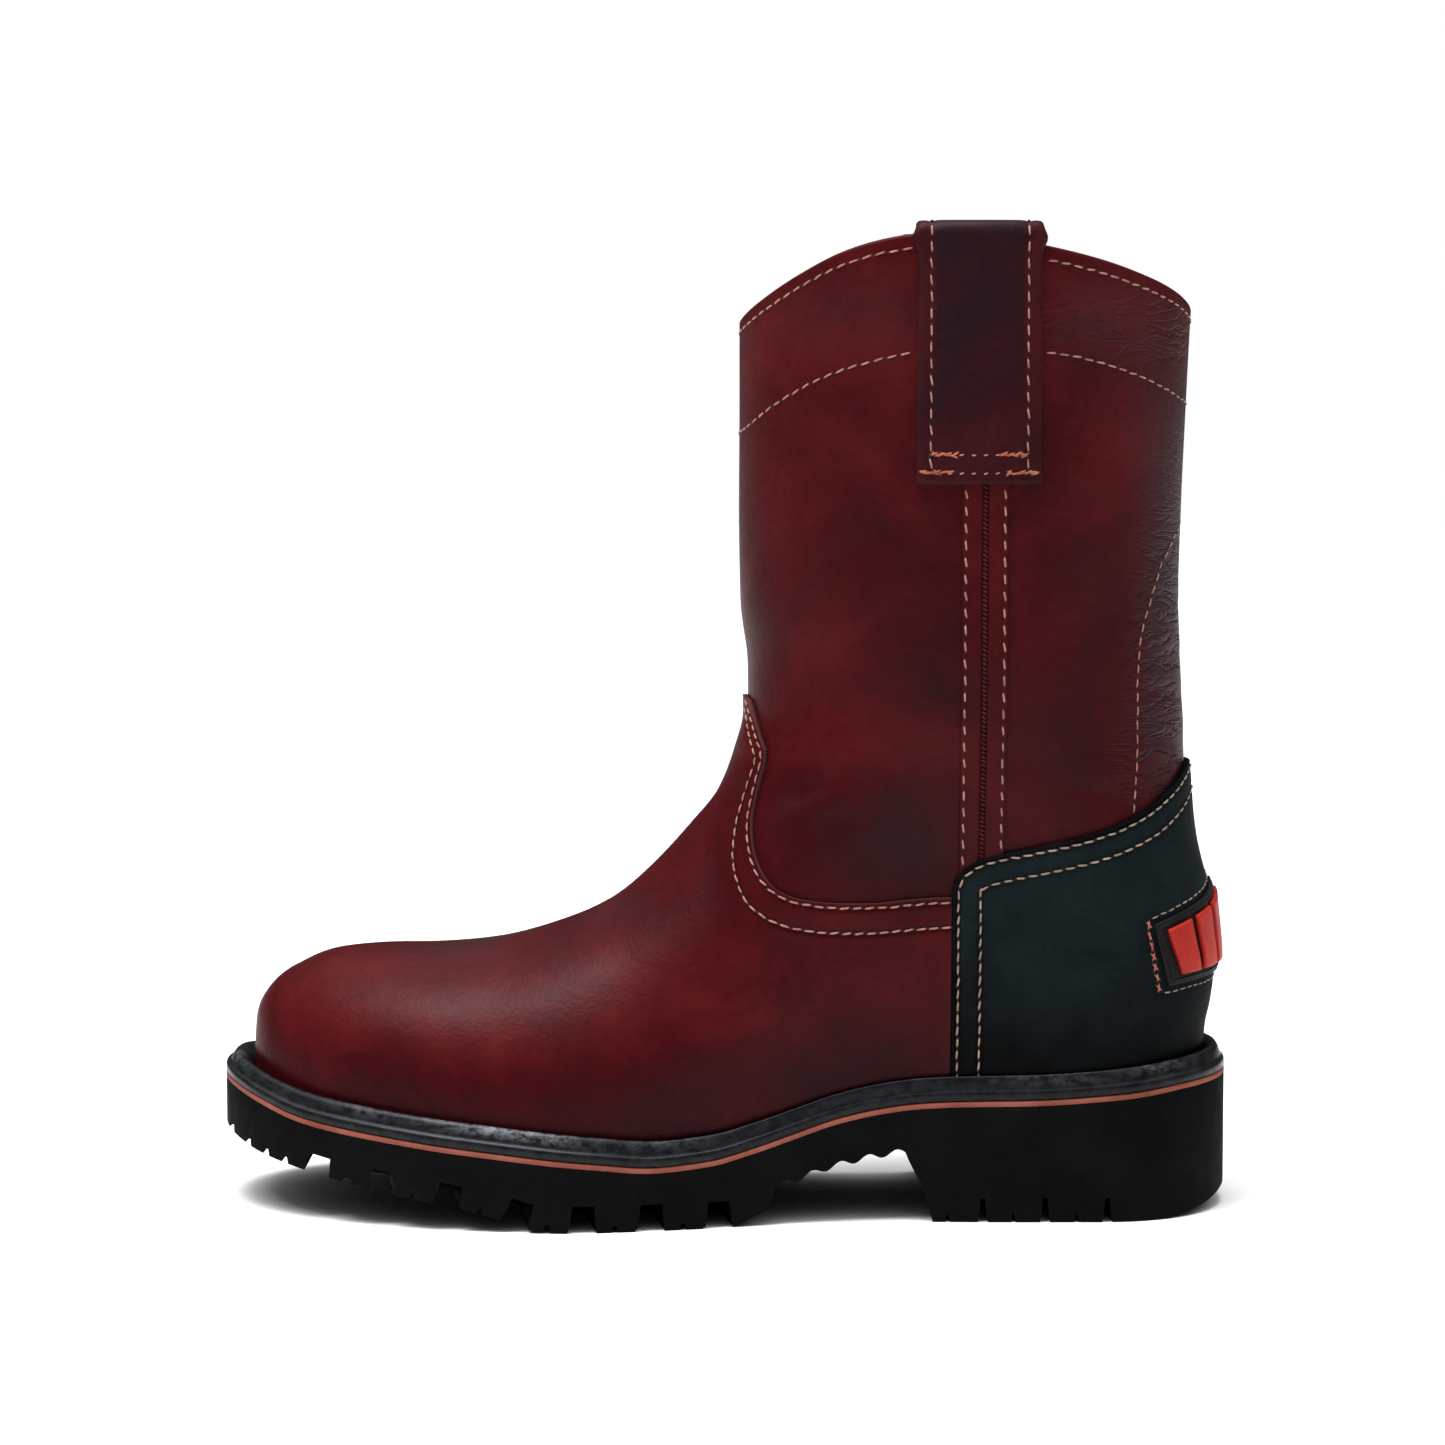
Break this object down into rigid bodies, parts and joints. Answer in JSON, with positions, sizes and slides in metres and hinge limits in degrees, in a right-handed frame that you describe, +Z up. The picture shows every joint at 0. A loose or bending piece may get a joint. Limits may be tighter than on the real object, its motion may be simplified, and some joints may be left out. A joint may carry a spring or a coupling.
{
  "type": "pull-on work boot",
  "caption": "Left pull-on leather work boot with side pull straps, scalloped collar, heel counter, storm welt and lugged rubber sole.",
  "frame": {"origin": "on the floor under the middle of the sole's outline", "axes": "+X from toe to heel, +Y from the outer (lateral) to the inner (medial) side, +Z up"},
  "size_m": [0.3054, 0.1123, 0.2953],
  "materials": {
    "outsole_rubber": "matt black moulded rubber, slightly dusty",
    "midsole_rubber": "thin terracotta layer, satin",
    "welt_rubber": "black rounded welt, waxed and scuffed",
    "footbed": "dark textile footbed",
    "upper_leather": "oiled oxblood leather with darker mottling, satin",
    "counter_leather": "matt black buffed leather",
    "strap_leather": "oiled dark purple-brown leather",
    "badge_rubber": "black moulded rubber",
    "badge_orange": "bright red-orange moulded rubber, satin"
  },
  "bodies": {
    "root": {"outsole": "outsole_rubber", "midsole": "midsole_rubber", "welt": "welt_rubber", "insole": "footbed", "upper": "upper_leather", "vamp": "upper_leather", "counter": "counter_leather", "seam_band_lateral": "upper_leather", "seam_band_medial": "upper_leather", "pull_strap_lateral": "strap_leather", "pull_strap_medial": "strap_leather", "heel_badge": "badge_rubber", "badge_block_1": "badge_orange", "badge_block_2": "badge_orange", "badge_block_3": "badge_orange", "badge_block_4": "badge_orange", "badge_block_5": "badge_orange", "badge_block_6": "badge_orange", "badge_block_7": "badge_orange"}
  },
  "joints": []
}
